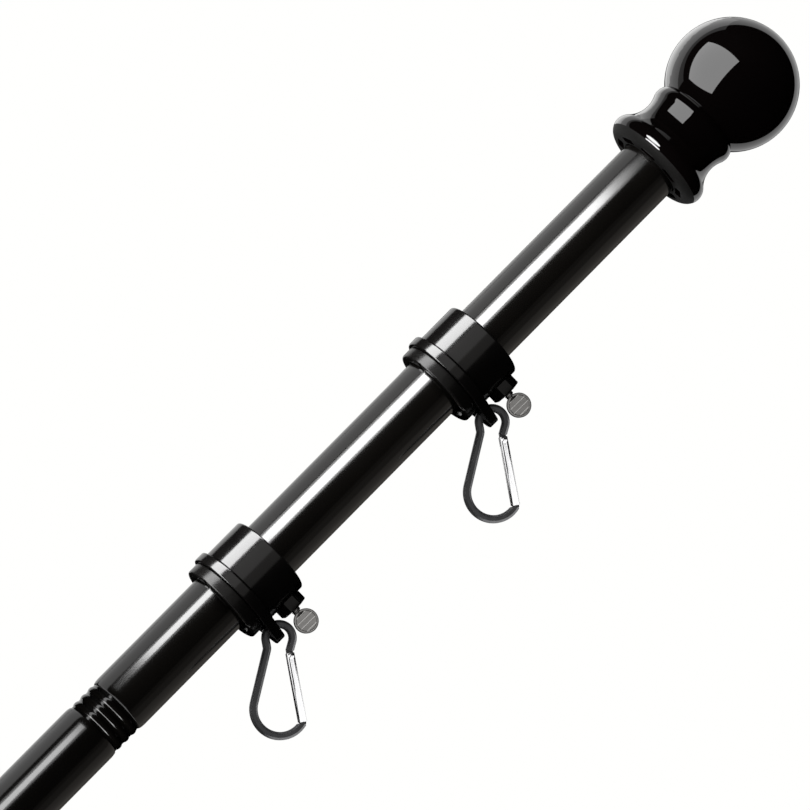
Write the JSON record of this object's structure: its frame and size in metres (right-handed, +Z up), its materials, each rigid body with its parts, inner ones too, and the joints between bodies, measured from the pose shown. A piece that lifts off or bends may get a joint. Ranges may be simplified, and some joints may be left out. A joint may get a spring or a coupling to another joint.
{
  "type": "house flagpole",
  "caption": "Leaning sectional house flagpole with a ball finial and swivelling flag rings, each carrying a thumb screw and a hanging snap clip.",
  "frame": {"origin": "centre of the pole's foot face, which sits in the wall bracket", "axes": "+Z up in the world, the pole leans 45 degrees towards +X in the XZ plane, and the clips hang down -Z"},
  "size_m": [1.1836, 0.0536, 1.1836],
  "materials": {
    "black_enamel": "gloss black powder coat",
    "black_gloss": "polished black",
    "black_plastic": "moulded black, semi-gloss",
    "grey_anodised": "dark grey anodised",
    "bright_aluminium": "bright drawn",
    "zinc_steel": "brushed zinc plate"
  },
  "bodies": {
    "pole": {"foot_plug": "black_plastic", "tube_1": "black_enamel", "tube_2": "black_enamel", "tube_3": "black_enamel", "tube_4": "black_enamel", "tube_5": "black_enamel", "coupler_1": "black_enamel", "coupler_2": "black_enamel", "coupler_3": "black_enamel", "coupler_4": "black_enamel", "finial": "black_gloss"},
    "upper_ring": {"upper_collar": "black_plastic", "upper_retainer": "black_plastic"},
    "upper_band": {"upper_swivel_band": "black_plastic"},
    "upper_screw": {"upper_thumb_screw": "zinc_steel"},
    "upper_clip": {"upper_clip_hook": "grey_anodised", "upper_gate_rivet": "bright_aluminium"},
    "upper_gate": {"upper_clip_gate": "bright_aluminium"},
    "lower_ring": {"lower_collar": "black_plastic", "lower_retainer": "black_plastic"},
    "lower_band": {"lower_swivel_band": "black_plastic"},
    "lower_screw": {"lower_thumb_screw": "zinc_steel"},
    "lower_clip": {"lower_clip_hook": "grey_anodised", "lower_gate_rivet": "bright_aluminium"},
    "lower_gate": {"lower_clip_gate": "bright_aluminium"}
  },
  "joints": [
    {"name": "upper_ring_slide", "type": "slide", "parent": "pole", "child": "upper_ring", "axis": [0.7071, 0, 0.7071], "range_m": [-0.02, 0.085]},
    {"name": "upper_band_swivel", "type": "hinge", "parent": "upper_ring", "child": "upper_band", "pos_m": [1.03252, 0, 1.03103], "axis": [0.7071, 0, 0.7071], "continuous": true},
    {"name": "upper_screw_turn", "type": "hinge", "parent": "upper_ring", "child": "upper_screw", "pos_m": [1.05539, 0, 1.02562], "axis": [0.7071, 0, -0.7071], "continuous": true},
    {"name": "upper_clip_swing", "type": "hinge", "parent": "upper_band", "child": "upper_clip", "pos_m": [1.05048, 0, 1.01307], "axis": [0, 1, 0], "range_deg": [-35, 35]},
    {"name": "upper_gate_open", "type": "hinge", "parent": "upper_clip", "child": "upper_gate", "pos_m": [1.05501, 0, 1.00583], "axis": [0, 1, 0], "range_deg": [0, 24], "stiffness_Nm_per_rad": 0.01, "springref_deg": -34.38},
    {"name": "lower_ring_slide", "type": "slide", "parent": "pole", "child": "lower_ring", "axis": [0.7071, 0, 0.7071], "range_m": [-0.8, 0.02]},
    {"name": "lower_band_swivel", "type": "hinge", "parent": "lower_ring", "child": "lower_band", "pos_m": [0.94717, 0, 0.94568], "axis": [0.7071, 0, 0.7071], "continuous": true},
    {"name": "lower_screw_turn", "type": "hinge", "parent": "lower_ring", "child": "lower_screw", "pos_m": [0.97004, 0, 0.94027], "axis": [0.7071, 0, -0.7071], "continuous": true},
    {"name": "lower_clip_swing", "type": "hinge", "parent": "lower_band", "child": "lower_clip", "pos_m": [0.96513, 0, 0.92772], "axis": [0, 1, 0], "range_deg": [-35, 35]},
    {"name": "lower_gate_open", "type": "hinge", "parent": "lower_clip", "child": "lower_gate", "pos_m": [0.96966, 0, 0.92048], "axis": [0, 1, 0], "range_deg": [0, 24], "stiffness_Nm_per_rad": 0.01, "springref_deg": -34.38}
  ]
}
